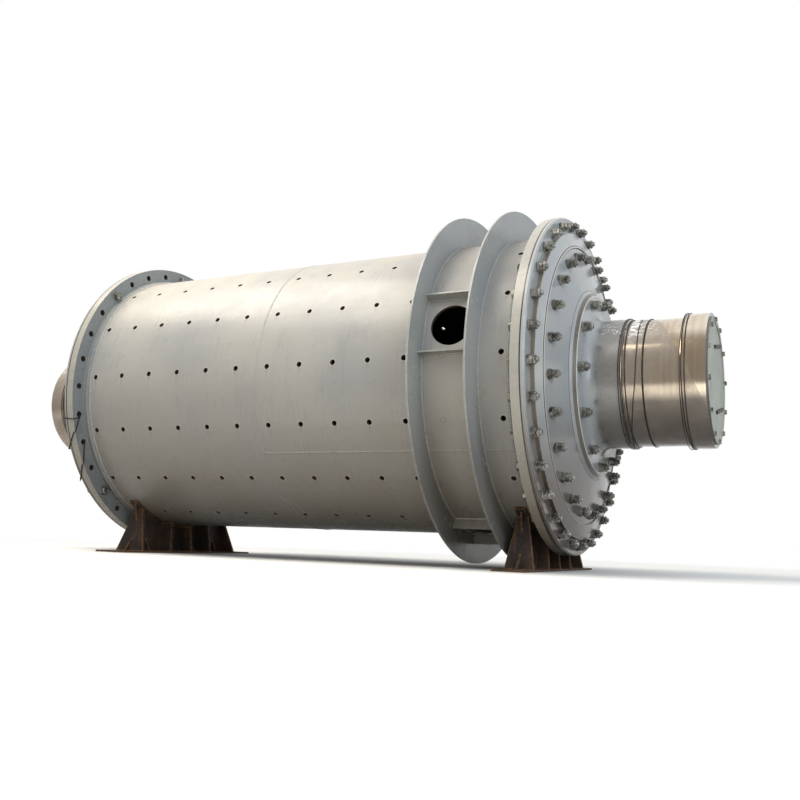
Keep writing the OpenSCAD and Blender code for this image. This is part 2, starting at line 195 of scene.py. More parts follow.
def weather_group():
    """Sprayed paint that has stood outdoors: uneven tint, dust and a painted warm light on upward faces,
    darkening on downward faces, specks, orange peel.
    """
    inputs = [("Colour", "Color", (0.5, 0.5, 0.5, 1)), ("Dust", "Float", 0.5), ("Grime", "Float", 0.5),
              ("Roughness", "Float", 0.35)]
    outputs = [("Colour", "Color"), ("Roughness", "Float"), ("Height", "Float")]
    tree, given, sink = group("weathered_paint", inputs, outputs)
    place = object_place(tree)
    normal = add(tree, "ShaderNodeNewGeometry").outputs["Normal"]
    facing = add(tree, "ShaderNodeSeparateXYZ", None, i0=normal).outputs[2]
    cloud = noise(tree, place, 1.3, 4.0)
    patch = noise(tree, place, 5.5, 5.0, 0.6)
    streaks = noise(tree, stretched(tree, place, (13.0, 13.0, 1.1)), 1.0, 3.0)
    peel = noise(tree, place, 85.0, 2.0)
    sand = noise(tree, place, 330.0, 1.0)
    tint = blend(tree, between(tree, cloud, 0.38, 0.62), (0.90, 0.905, 0.92, 1), (1.05, 1.04, 1.0, 1))
    paint = blend(tree, 1.0, given["Colour"], tint, "MULTIPLY")
    faded = between(tree, patch, 0.55, 0.75, 0.0, 0.16)
    paint = blend(tree, faded, paint, (0.33, 0.31, 0.28, 1))
    # Dust and painted warm light: upward faces turn warm tan, partly settled dust and partly painted sunlight
    # on the tops.
    up = between(tree, facing, 0.25, 1.0)
    dust_and_warm_light = times(tree, times(tree, up, between(tree, patch, 0.3, 0.7, 0.45, 1.0)), given["Dust"])
    paint = blend(tree, dust_and_warm_light, paint, (0.62, 0.56, 0.46, 1))
    # Downward faces are darkened towards a brown grey, more in some clouds than in others.
    down = between(tree, facing, 0.15, -0.95)
    underside_dark = times(tree, times(tree, down, between(tree, cloud, 0.3, 0.7, 0.5, 1.0)), given["Grime"])
    paint = blend(tree, underside_dark, paint, (0.16, 0.14, 0.115, 1))
    runs = between(tree, streaks, 0.60, 0.78, 0.0, 0.20)
    paint = blend(tree, runs, paint, (0.25, 0.22, 0.185, 1))
    specks = between(tree, sand, 0.70, 0.76, 0.0, 0.35)
    paint = blend(tree, specks, paint, (0.14, 0.11, 0.09, 1))
    rough = plus(tree, given["Roughness"], times(tree, dust_and_warm_light, 0.22))
    rough = plus(tree, rough, between(tree, patch, 0.3, 0.7, -0.05, 0.09))
    tree.links.new(paint, sink.inputs["Colour"])
    tree.links.new(sums(tree, "MAXIMUM", rough, 0.08), sink.inputs["Roughness"])
    tree.links.new(plus(tree, peel, times(tree, cloud, 1.5)), sink.inputs["Height"])
    return tree


polar = polar_group()
nearest = offset_group()
weather = weather_group()


def hole_marks(tree, paint, across, along, radius, drop):
    """Pale chipped rims, a ring of painted shade at the mouths, and rusty runs at holes, from the distances
    to the nearest hole's middle.
    """
    away = spread(tree, across, along)
    rim = between(tree, away, radius + 0.010, radius + 0.003, 0.0, 0.5)
    paint = blend(tree, rim, paint, BARE_EDGE)
    # Painted shade: a dark ring round the mouth of each hole, running into the top of its wall.
    paint = blend(tree, between(tree, away, radius + 0.004, radius + 0.002), paint, DARK_INSIDE)
    narrow = between(tree, sums(tree, "ABSOLUTE", across), radius * 0.75, 0.0)
    below = times(tree, between(tree, drop, 0.006, 0.02), between(tree, drop, 0.105, 0.02))
    run = times(tree, times(tree, narrow, below), 0.28)
    return blend(tree, run, paint, (0.19, 0.135, 0.09, 1)), away


def shell_material():
    """Grey paint with chipped liner holes, one column of plugged ones, and rusty steel inside."""
    made, tree, shader = finish_material("shell_paint")
    at = use(tree, polar)
    paint = use(tree, weather, Colour=GREY, Dust=0.55, Grime=0.65, Roughness=0.29)
    shader.inputs["Specular IOR Level"].default_value = 0.42
    turn = use(tree, nearest, Value=at["Angle"], Start=ROLL, Pitch=2 * math.pi / LINER_ROWS)["Offset"]
    round_offset = times(tree, turn, SHELL_R)
    even = use(tree, nearest, Value=at["Along"], Start=LINER_FIRST_X, Pitch=LINER_PITCH)["Offset"]
    last = minus(tree, at["Along"], -LINER_FIRST_X)
    past_ports = sums(tree, "GREATER_THAN", at["Along"], PLUGGED_X + LINER_PITCH / 2)
    before_ports = minus(tree, 1.0, past_ports)
    along = plus(tree, times(tree, even, before_ports), times(tree, last, past_ports))
    drop = times(tree, times(tree, round_offset, -1.0), sums(tree, "SIGN", at["Front"]))
    colour, away = hole_marks(tree, paint["Colour"], along, round_offset, LINER_HOLE_R, drop)
    near_ports = sums(tree, "GREATER_THAN", at["Along"], PLUGGED_X - LINER_PITCH / 2)
    seam = between(tree, apart(tree, away, LINER_HOLE_R), 0.004, 0.001, 0.0, 0.55)
    plug = blend(tree, seam, paint["Colour"], (0.17, 0.155, 0.13, 1))
    colour = blend(tree, times(tree, near_ports, before_ports), colour, plug)
    inside = sums(tree, "LESS_THAN", at["Radius"], SHELL_R - 0.0025)
    colour = blend(tree, inside, colour, PRIMER)
    deep = sums(tree, "LESS_THAN", at["Radius"], SHELL_R - SHELL_WALL + 0.002)
    colour = blend(tree, deep, colour, DARK_INSIDE)
    tree.links.new(colour, shader.inputs["Base Color"])
    unrolled = add(tree, "ShaderNodeCombineXYZ", None, X=at["Along"], Y=at["Angle"]).outputs[0]
    wiped = noise(tree, stretched(tree, unrolled, (48.0, 2.4, 1.0)), 1.0, 3.0)
    rough = plus(tree, paint["Roughness"], between(tree, wiped, 0.3, 0.7, -0.025, 0.040))
    tree.links.new(plus(tree, rough, times(tree, inside, 0.5)), shader.inputs["Roughness"])
    bumped(tree, shader, paint["Height"], 0.16, 0.004)
    return made


def dress(node, material):
    """Gives a solid of the frame its finish."""
    slots = frame["nodes"][node].data.materials
    slots.clear()
    slots.append(material)


shell_paint = shell_material()
for plate in SHELL_PLATES:
    dress(plate, shell_paint)


# Weld beads on the drum. The girth butt weld, the long seams of both courses and the fillet
# welds at flange bands, port rings and port ribs were laid by hand, then painted with the shell.
def bead_tree():
    """A rippled bead of a given size along the edges of the object that carries it."""
    inputs = [("Path", "Geometry", None), ("Size", "Float", 0.006), ("Ripple", "Float", 0.2),
              ("Pitch", "Float", 0.02), ("Sides", "Int", 6), ("Finish", "Material", None)]
    tree, given, sink = group("weld_bead", inputs, [("Bead", "Geometry")], "GeometryNodeTree")
    curve = add(tree, "GeometryNodeMeshToCurve", None, Mesh=given["Path"]).outputs[0]
    step = sums(tree, "DIVIDE", given["Pitch"], 4.0)
    curve = add(tree, "GeometryNodeResampleCurve", {"mode": "LENGTH"}, Curve=curve, Length=step).outputs[0]
    length = add(tree, "GeometryNodeSplineParameter").outputs["Length"]
    wave = sums(tree, "SINE", sums(tree, "DIVIDE", times(tree, length, 2 * math.pi), given["Pitch"]))
    wobble = add(tree, "ShaderNodeTexNoise", {"noise_dimensions": "1D"}, W=length, Scale=24.0, Detail=1.0)
    uneven = plus(tree, wave, times(tree, minus(tree, wobble.outputs[0], 0.5), 3.0))
    scale = plus(tree, times(tree, uneven, given["Ripple"]), 1.0)
    profile = add(tree, "GeometryNodeCurvePrimitiveCircle", None, Resolution=given["Sides"],
                  Radius=given["Size"]).outputs[0]
    mesh = add(tree, "GeometryNodeCurveToMesh", None, Curve=curve, Profile_Curve=profile, Scale=scale,
               Fill_Caps=True).outputs[0]
    mesh = add(tree, "GeometryNodeSetShadeSmooth", None, Geometry=mesh).outputs[0]
    mesh = add(tree, "GeometryNodeRealizeInstances", None, Geometry=mesh).outputs[0]
    mesh = add(tree, "GeometryNodeSetMaterial", None, Geometry=mesh, Material=given["Finish"]).outputs[0]
    tree.links.new(mesh, sink.inputs[0])
    return tree


def grow(name, tree, mesh=None, **inputs):
    """Runs a geometry tree on a mesh and keeps the result as a plain mesh object that rides the drum."""
    made = bpy.data.objects.new(name, mesh or bpy.data.meshes.new(name))
    bpy.context.scene.collection.objects.link(made)
    modifier = made.modifiers.new("grow", "NODES")
    modifier.node_group = tree
    for item in tree.interface.items_tree:
        key = item.name.replace(" ", "_")
        if item.in_out == "INPUT" and key in inputs:
            modifier[item.identifier] = inputs[key]
    seen = made.evaluated_get(bpy.context.evaluated_depsgraph_get())
    result = bpy.data.meshes.new_from_object(seen)
    made.modifiers.remove(modifier)
    made.data = result
    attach(made, "root")
    return made


def paths(name, runs):
    """A mesh of edges only, from open or closed runs of points."""
    mesh = bpy.data.meshes.new(name)
    points, edges = [], []
    for run, closed in runs:
        first = len(points)
        points += [tuple(p) for p in run]
        edges += [(first + i, first + i + 1) for i in range(len(run) - 1)]
        if closed:
            edges.append((first + len(run) - 1, first))
    mesh.from_pydata(points, edges, [])
    return mesh


def on_drum(x, radius, angle):
    """A point on the drum, from its place along it, its radius and its angle above the front side."""
    return Vector((x, -radius * math.cos(angle), AXIS_Z + radius * math.sin(angle)))


def hoop(x, radius, steps=180):
    """A closed circle round the drum's axis."""
    return [on_drum(x, radius, 2 * math.pi * i / steps) for i in range(steps)], True


def run_along(x0, x1, radius, angle, steps=24):
    """A straight run along the drum."""
    return [on_drum(x0 + (x1 - x0) * i / steps, radius, angle) for i in range(steps + 1)], False


def weld(name, runs, size, ripple, pitch):
    """Beads of one size, painted with the shell."""
    made = grow(name, weld_bead, paths(name, runs), Size=size, Ripple=ripple, Pitch=pitch, Finish=shell_paint)


weld_bead = bead_tree()
GIRTH_X = min(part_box(n)[0].x for n in SHELL_PLATES if "discharge" in n)
inner_low, inner_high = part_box("port_ring_inner")
outer_low, outer_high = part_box("port_ring_outer")
flange_low, flange_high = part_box("discharge_shell_flange")
BAND_X = flange_low.x
PORT_TURN = 11.25
LONG_SEAM = ROLL + math.radians(PORT_TURN - 45)
FEED_SEAM = ROLL + math.radians(PORT_TURN + 90)
BUTT = 0.0085
BUTT_R = SHELL_R - 0.005
FILLET = 0.010
FILLET_R = SHELL_R + 0.002

weld("shell_butt_welds", [
    hoop(GIRTH_X, BUTT_R),
    run_along(GIRTH_X, inner_low.x, BUTT_R, LONG_SEAM),
    run_along(inner_high.x, outer_low.x, BUTT_R, LONG_SEAM),
    run_along(outer_high.x, BAND_X, BUTT_R, LONG_SEAM),
    run_along(-BAND_X, GIRTH_X, BUTT_R, FEED_SEAM),
], BUTT, ripple=0.10, pitch=0.016)
ring_faces = (inner_low.x, inner_high.x, outer_low.x, outer_high.x)
weld("port_ring_welds", [hoop(x, FILLET_R) for x in ring_faces], FILLET, ripple=0.14, pitch=0.020)
weld("flange_band_welds", [hoop(s * BAND_X, SHELL_R) for s in (-1, 1)], FILLET, ripple=0.12, pitch=0.020)


# Shell flanges. Forged rings with a weld band, machined on the joint face and drilled on one bolt
# circle. Sprayed with the shell, with bare metal at the edges and brown primer in the holes.
JOINT_X = max(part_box(n)[1].x for n in SHELL_PLATES)
FLANGE_R = (flange_high.y - flange_low.y) / 2
FLANGE_T = 0.062
FLANGE_BACK_X = JOINT_X - FLANGE_T
FLANGE_BOLTS = 32
FLANGE_BOLT_R = SHELL_R + 0.065
FLANGE_HOLE_R = 0.023
FLANGE_PHASE = ROLL + math.radians(-4.0)
FLANGE_CIRCLE = (FLANGE_BOLTS, FLANGE_BOLT_R, FLANGE_HOLE_R, FLANGE_PHASE)
LOWER_SHADE_BROWN = (0.098, 0.070, 0.055, 1)
JOINT_GAP = (0.045, 0.040, 0.034, 1)
SUNLIT_RIM_CREAM = (0.46, 0.45, 0.41, 1)
FACE_GREY = (0.255, 0.282, 0.300, 1)
LINE = 0.002


def edge_group():
    """A mask along sharp outer edges, from how a rounded normal leaves the true one."""
    tree, given, sink = group("edge_mask", [("Width", "Float", 0.006)], [("Edge", "Float")])
    true_normal = add(tree, "ShaderNodeNewGeometry").outputs["Normal"]
    rounded = add(tree, "ShaderNodeBevel", {"samples": 4}, Radius=given["Width"]).outputs[0]
    dot = add(tree, "ShaderNodeVectorMath", {"operation": "DOT_PRODUCT"}, i0=true_normal, i1=rounded)
    ragged = between(tree, noise(tree, object_place(tree), 34.0, 4.0, 0.65), 0.3, 0.62)
    edge = between(tree, dot.outputs["Value"], 0.995, 0.86)
    tree.links.new(times(tree, edge, ragged), sink.inputs["Edge"])
    return tree


def plate_material(name, colour, roughness, holes=(), lit_and_shaded_rings=(), specular=0.5, lower_shade=0.0):
    """Painted plate with bare edges and a painted brown shade over its lower half. Bolt holes are given as
    (count, circle, hole, phase), and rings of painted light and shade as (radius, half width, colour)."""
    made, tree, shader = finish_material(name)
    at = use(tree, polar)
    # Rings of painted light and shade at given radii, laid under the weathering.
    for radius, half, tone in lit_and_shaded_rings:
        line = between(tree, apart(tree, at["Radius"], radius), half + 0.001, half - 0.001)
        colour = blend(tree, line, colour, tone)
    paint = use(tree, weather, Colour=colour, Dust=0.30, Grime=0.35, Roughness=roughness)
    # Painted shade: the lower half darkens towards brown, by a set amount for each plate.
    low = between(tree, at["Height"], -0.10, -0.90, 0.0, lower_shade)
    painted = blend(tree, low, paint["Colour"], LOWER_SHADE_BROWN)
    edge = use(tree, edge_mask, Width=0.007)["Edge"]
    painted = blend(tree, times(tree, edge, 0.7), painted, BARE_EDGE)
    seam = between(tree, apart(tree, sums(tree, "ABSOLUTE", at["Along"]), JOINT_X), 0.006, 0.003)
    rim = between(tree, at["Radius"], FLANGE_R - 0.003, FLANGE_R - 0.002)
    painted = blend(tree, times(tree, seam, rim), painted, JOINT_GAP)
    shader.inputs["Specular IOR Level"].default_value = specular
    for count, circle, hole, phase in holes:
        turn = use(tree, nearest, Value=at["Angle"], Start=phase, Pitch=2 * math.pi / count)["Offset"]
        away = spread(tree, times(tree, turn, circle), minus(tree, at["Radius"], circle))
        painted = blend(tree, between(tree, away, hole + 0.0015, hole + 0.0005), painted, PRIMER)
    tree.links.new(painted, shader.inputs["Base Color"])
    tree.links.new(paint["Roughness"], shader.inputs["Roughness"])
    bumped(tree, shader, paint["Height"], 0.12, 0.004)
    return made


edge_mask = edge_group()
# Painted light: a cream line round the flange rim stands in for the sunlight on it.
flange_paint = plate_material("flange_paint", FACE_GREY, 0.24, [FLANGE_CIRCLE], [(FLANGE_R, LINE, SUNLIT_RIM_CREAM)],
                              lower_shade=0.25)
dress("feed_shell_flange", flange_paint)
dress("discharge_shell_flange", flange_paint)


# Port rings and ribs. Thin rolled plates on edge round the discharge ports, with short flat ribs
# between them, all fillet welded to the shell and painted with it.
COOL_GREY = (0.35, 0.37, 0.375, 1)
PORT_RIBS = 8
RIB_HALF = 0.007
RIB_FILLET = 0.008
ring_paint = plate_material("ring_paint", COOL_GREY, 0.20, specular=0.38, lower_shade=0.5)
dress("port_ring_inner", ring_paint)
dress("port_ring_outer", ring_paint)
rib_runs = []
for number in range(1, PORT_RIBS + 1):
    rib = f"port_rib_{number}"
    dress(rib, ring_paint)
    low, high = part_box(rib)
    middle = (low + high) / 2
    angle = math.atan2(middle.z - AXIS_Z, -middle.y)
    for side in (-1, 1):
        rib_runs.append(run_along(inner_high.x, outer_low.x, FILLET_R, angle + side * RIB_HALF / SHELL_R))
weld("port_rib_welds", rib_runs, RIB_FILLET, ripple=0.14, pitch=0.018)


# End covers. One casting at each end with a bolted rim, a raised ring and a cone that carries the
# trunnion. Sprayed grey, and machined bright only where the joints meet.
COVER_STUDS = 24
COVER_STUD_R = 0.917
COVER_STUD_PHASE = ROLL + math.radians(7.5)
TRUNNION_STUDS = 12
TRUNNION_STUD_R = 0.586
COVER_CIRCLES = [
    FLANGE_CIRCLE,
    (COVER_STUDS, COVER_STUD_R, 0.019, COVER_STUD_PHASE),
    (TRUNNION_STUDS, TRUNNION_STUD_R, 0.024, ROLL),
]
RAISED_RING_R = FLANGE_R - 0.113
RAISED_LIP_R = RAISED_RING_R - 0.104
trunnion_low, trunnion_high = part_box("discharge_trunnion")
TRUNNION_FLANGE_R = (trunnion_high.y - trunnion_low.y) / 2
PALE_GREY = (0.42, 0.445, 0.46, 1)
GROOVE_SHADE = (0.13, 0.125, 0.115, 1)
# Painted light and shade on the covers: a lighter band across the raised ring as painted sheen, bright lines
# as painted highlights at the edges of its lip, and dark lines as painted shade at its outer wall, at its
# inner step, in the groove beside it and round the foot of the trunnion flange.
COVER_LIGHT_AND_SHADE = [
    ((RAISED_RING_R + RAISED_LIP_R) / 2, 0.052, (0.50, 0.53, 0.545, 1)),
    (RAISED_RING_R, LINE, (0.23, 0.21, 0.18, 1)),
    (RAISED_LIP_R + 0.022, 0.003, (0.66, 0.68, 0.69, 1)),
    (RAISED_LIP_R + 0.012, 0.006, (0.17, 0.14, 0.11, 1)),
    (RAISED_LIP_R + 0.003, 0.003, (0.76, 0.78, 0.78, 1)),
    (RAISED_LIP_R - 0.006, 0.005, GROOVE_SHADE),
    (TRUNNION_FLANGE_R + 0.002, 0.004, GROOVE_SHADE),
]
cover_paint = plate_material("cover_paint", PALE_GREY, 0.17, COVER_CIRCLES, COVER_LIGHT_AND_SHADE, 0.36, lower_shade=0.85)
dress("feed_end_cover", cover_paint)
dress("discharge_end_cover", cover_paint)


# Bolts. Hexagon nuts with lock nuts or washers on stud ends, zinc plated and dulled by paint mist.
# The discharge joint has all its bolts, the feed joint only a few to hold it for transport.
def zinc_material():
    """Zinc plating, clouded and stained, with bright worn edges."""
    made, tree, shader = finish_material("zinc_plating")
    place = object_place(tree)
    cloud = noise(tree, place, 26.0, 4.0, 0.6)
    colour = blend(tree, between(tree, cloud, 0.35, 0.65), (0.085, 0.085, 0.077, 1), (0.38, 0.38, 0.345, 1))
    dark = between(tree, noise(tree, place, 9.0, 3.0), 0.48, 0.66, 0.0, 0.4)
    colour = blend(tree, dark, colour, (0.055, 0.044, 0.036, 1))
    edge = use(tree, edge_mask, Width=0.003)["Edge"]
    colour = blend(tree, times(tree, edge, 0.6), colour, (0.72, 0.70, 0.66, 1))
    tree.links.new(colour, shader.inputs["Base Color"])
    tree.links.new(between(tree, cloud, 0.3, 0.7, 0.24, 0.48), shader.inputs["Roughness"])
    shader.inputs["Metallic"].default_value = 0.75
    bumped(tree, shader, cloud, 0.15, 0.002)
    return made


def ring_of(bm, radii, xs):
    """A ring of vertices about X, from a list of radii and of places along it."""
    count = len(radii)
    return [bm.verts.new((xs[i], radii[i] * math.cos(2 * math.pi * i / count),
                          radii[i] * math.sin(2 * math.pi * i / count))) for i in range(count)]


def even_ring(bm, radius, x, sides):
    """A plain ring of vertices about X."""
    return ring_of(bm, [radius] * sides, [x] * sides)


def skin(bm, rings):
    """Closes a row of vertex rings into one solid."""
    for a, b in zip(rings, rings[1:]):
        for i in range(len(a)):
            j = (i + 1) % len(a)
            bm.faces.new((a[i], a[j], b[j], b[i]))
    bm.faces.new(list(reversed(rings[0])))
    bm.faces.new(rings[-1])


def nut(bm, flats, x0, x1):
    """A hexagon nut or head with the round chamfer that cuts its corners."""
    corner = flats / math.sqrt(3)
    hexagon = [corner if i % 2 == 0 else flats / 2 for i in range(12)]
    chamfer = 0.08 * flats
    high = [x1 - (chamfer if i % 2 == 0 else 0.25 * chamfer) for i in range(12)]
    skin(bm, [ring_of(bm, hexagon, [x0] * 12), ring_of(bm, hexagon, high),
              even_ring(bm, 0.48 * flats, x1, 12)])


def disc(bm, radius, x0, x1, sides=20, bevel=0.0015):
    """A round washer, plate or stud with a bevelled front edge."""
    skin(bm, [even_ring(bm, radius, x0, sides), even_ring(bm, radius, x1 - bevel, sides),
              even_ring(bm, radius - bevel, x1, sides)])


def threaded(bm, radius, x0, x1, pitch=0.0045, sides=12):
    """A stud end with the crests of its thread, and a chamfered point."""
    rings = []
    turns = max(1, round((x1 - x0) / pitch))
    for i in range(turns):
        start = x0 + (x1 - x0) * i / turns
        rings.append(even_ring(bm, radius * 0.93, start, sides))
        rings.append(even_ring(bm, radius, start + pitch / 2, sides))
    rings.append(even_ring(bm, radius * 0.84, x1 + pitch / 2, sides))
    skin(bm, rings)


def fastener(name, rows):
    """A loose fastener along X that the bolt circles copy, from rows of (kind, size, start, end). The
    size is the radius of a disc or thread, and the width over flats of a nut."""
    bm = bmesh.new()
    for kind, size, x0, x1 in rows:
        kind(bm, size, x0, x1)
    bmesh.ops.recalc_face_normals(bm, faces=bm.faces)
    mesh = bpy.data.meshes.new(name)
    bm.to_mesh(mesh)
    bm.free()
    return bpy.data.objects.new(name, mesh)


def bolt_tree():
    """Fasteners set round the mill's axis, each turned and sunk a little differently."""
    inputs = [("Carrier", "Geometry", None), ("Fastener", "Object", None), ("Count", "Int", 12),
              ("Spacing", "Float", 0.5), ("Phase", "Float", 0.0), ("Circle", "Float", 1.0),
              ("Station", "Float", 0.0), ("Facing", "Float", 1.0), ("Loose", "Float", 0.0),
              ("Seed", "Int", 1), ("Finish", "Material", None)]
    tree, given, sink = group("bolt_circle", inputs, [("Bolts", "Geometry")], "GeometryNodeTree")
    index = add(tree, "GeometryNodeInputIndex").outputs[0]
    angle = plus(tree, times(tree, index, given["Spacing"]), given["Phase"])
    chance = {"data_type": "FLOAT"}
    slack = add(tree, "FunctionNodeRandomValue", chance, i2=0.0, i3=given["Loose"], Seed=given["Seed"])
    station = plus(tree, given["Station"], times(tree, slack.outputs[1], given["Facing"]))
    y = times(tree, sums(tree, "COSINE", angle), times(tree, given["Circle"], -1.0))
    z = plus(tree, times(tree, sums(tree, "SINE", angle), given["Circle"]), AXIS_Z)
    place = add(tree, "ShaderNodeCombineXYZ", None, X=station, Y=y, Z=z).outputs[0]
    points = add(tree, "GeometryNodePoints", None, Count=given["Count"], Position=place).outputs[0]
    spin = add(tree, "FunctionNodeRandomValue", chance, i2=0.0, i3=math.pi / 3, Seed=given["Seed"])
    back = times(tree, sums(tree, "LESS_THAN", given["Facing"], 0.0), math.pi)
    euler = add(tree, "ShaderNodeCombineXYZ", None, X=spin.outputs[1], Y=0.0, Z=back).outputs[0]
    turn = add(tree, "FunctionNodeEulerToRotation", None, i0=euler).outputs[0]
    shape = add(tree, "GeometryNodeObjectInfo", None, Object=given["Fastener"]).outputs["Geometry"]
    made = add(tree, "GeometryNodeInstanceOnPoints", None, Points=points, Instance=shape,
               Rotation=turn).outputs[0]
    made = add(tree, "GeometryNodeRealizeInstances", None, Geometry=made).outputs[0]
    made = add(tree, "GeometryNodeSetMaterial", None, Geometry=made, Material=given["Finish"]).outputs[0]
    tree.links.new(made, sink.inputs[0])
    return tree


def bolts(name, source, count, circle, station, facing, phase, seed, loose=0.004):
    """One bolt circle, or a single bolt of it."""
    made = grow(name, bolt_circle, Fastener=source, Count=count, Spacing=2 * math.pi / count, Phase=phase,
                Circle=circle, Station=station, Facing=facing, Loose=loose, Seed=seed, Finish=zinc)
    made.data.polygons.foreach_set("use_smooth", [True] * len(made.data.polygons))
    made.data.set_sharp_from_angle(angle=math.radians(28))


zinc = zinc_material()
bolt_circle = bolt_tree()
cover_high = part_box("discharge_end_cover")[1]
RIM_FACE_X = JOINT_X + 0.030
CONE_BOLT_X = JOINT_X + 0.104
TRUNNION_FACE_X = cover_high.x + 0.042
FEED_HOLES_BOLTED = (-4, 4, 8, 14, 20)
FASTENERS = {
    "joint_bolt": [(disc, 0.034, 0.0, 0.006), (nut, 0.055, 0.006, 0.034), (disc, 0.0175, 0.030, 0.042),
                   (nut, 0.054, 0.039, 0.053), (threaded, 0.0175, 0.053, 0.066)],
    "joint_head": [(disc, 0.034, 0.0, 0.006), (nut, 0.055, 0.006, 0.036)],
    "cover_stud": [(disc, 0.034, -0.018, 0.010), (nut, 0.052, 0.013, 0.036), (disc, 0.0165, 0.004, 0.044),
                   (nut, 0.051, 0.041, 0.055), (threaded, 0.0165, 0.055, 0.066)],
    "trunnion_stud": [(disc, 0.036, 0.0, 0.007), (nut, 0.060, 0.007, 0.037), (disc, 0.019, 0.033, 0.046),
                      (nut, 0.059, 0.042, 0.056), (threaded, 0.019, 0.056, 0.068)],
    "ready_bolt": [(disc, 0.036, 0.0, 0.007), (nut, 0.057, 0.007, 0.034)],
}
sources = {name: fastener(name, rows) for name, rows in FASTENERS.items()}
bolts("discharge_joint_bolts", sources["joint_bolt"], FLANGE_BOLTS, FLANGE_BOLT_R, RIM_FACE_X, 1.0,
      FLANGE_PHASE, seed=3)
bolts("discharge_joint_heads", sources["joint_head"], FLANGE_BOLTS, FLANGE_BOLT_R, FLANGE_BACK_X, -1.0,
      FLANGE_PHASE, seed=4, loose=0.0)
for end, side, seed in (("discharge", 1.0, 5), ("feed", -1.0, 11)):
    bolts(f"{end}_cover_studs", sources["cover_stud"], COVER_STUDS, COVER_STUD_R, side * CONE_BOLT_X, side,
          COVER_STUD_PHASE, seed)
    bolts(f"{end}_trunnion_studs", sources["trunnion_stud"], TRUNNION_STUDS, TRUNNION_STUD_R,
          side * TRUNNION_FACE_X, side, ROLL, seed + 1)
for place, hole in enumerate(FEED_HOLES_BOLTED):
    angle = FLANGE_PHASE + hole * 2 * math.pi / FLANGE_BOLTS
    bolts(f"feed_joint_bolt_{place + 1}", sources["ready_bolt"], 1, FLANGE_BOLT_R, -FLANGE_BACK_X, 1.0, angle,
          seed=20 + place, loose=0.0)
    bolts(f"feed_joint_nut_{place + 1}", sources["joint_bolt"], 1, FLANGE_BOLT_R, -RIM_FACE_X, -1.0, angle,
          seed=30 + place, loose=0.0)


# Trunnions. Hollow turned forgings: the flange is painted with the cover, the shoulder is dull and
# the journal and end collar are bright, with fine tool rings and a painted dark reflection on the lower side.
MOUTH_X = trunnion_high.x
COLLAR_R = collar_mount["dims"]["r_mm"] / 1000
JOURNAL_R = COLLAR_R - 0.020
SHOULDER_R = JOURNAL_R + 0.012
FLANGE_EDGE_R = TRUNNION_FLANGE_R - 0.039
COLLAR_X = MOUTH_X - collar_mount["dims"]["length_mm"] / 1000
SHOULDER_X = COLLAR_X - 0.388
FILLET_X = TRUNNION_FACE_X + 0.066


